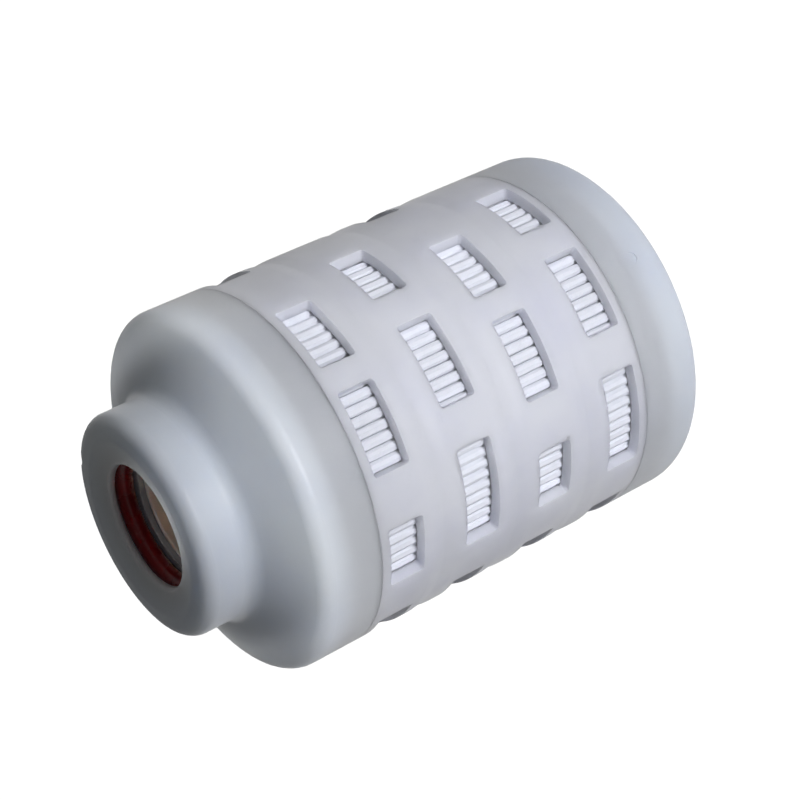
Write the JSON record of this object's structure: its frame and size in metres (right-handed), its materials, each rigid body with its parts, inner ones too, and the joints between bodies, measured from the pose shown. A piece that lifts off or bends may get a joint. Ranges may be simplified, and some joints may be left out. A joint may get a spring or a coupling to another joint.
{
  "type": "membrane filter cartridge",
  "caption": "Short round pleated filter cartridge: windowed outer cage between two moulded caps, a plain closed end, and an outlet collar with an O-ring inside its bore.",
  "frame": {"origin": "centre of the closed end's flat face, on which the cartridge stands", "axes": "+Z along the cartridge's axis from the closed end to the outlet collar; -Y is the front, the side that faces the camera in the picture"},
  "size_m": [0.069, 0.069, 0.1023],
  "materials": {
    "cap_plastic": "moulded, slightly satin, translucent white",
    "cage_plastic": "moulded, satin white",
    "core_plastic": "moulded, plain white",
    "insert_plastic": "smooth, pale beige",
    "seal_rubber": "smooth silicone, dark red",
    "support_fleece": "fine white non-woven",
    "membrane_sheet": "smooth white microporous sheet"
  },
  "bodies": {
    "root": {"open_end_cap": "cap_plastic", "o_ring": "seal_rubber", "bore_insert": "insert_plastic", "outer_cage": "cage_plastic", "inner_core": "core_plastic", "inner_support_layer": "support_fleece", "membrane": "membrane_sheet", "outer_support_layer": "support_fleece", "closed_end_cap": "cap_plastic"}
  },
  "joints": []
}
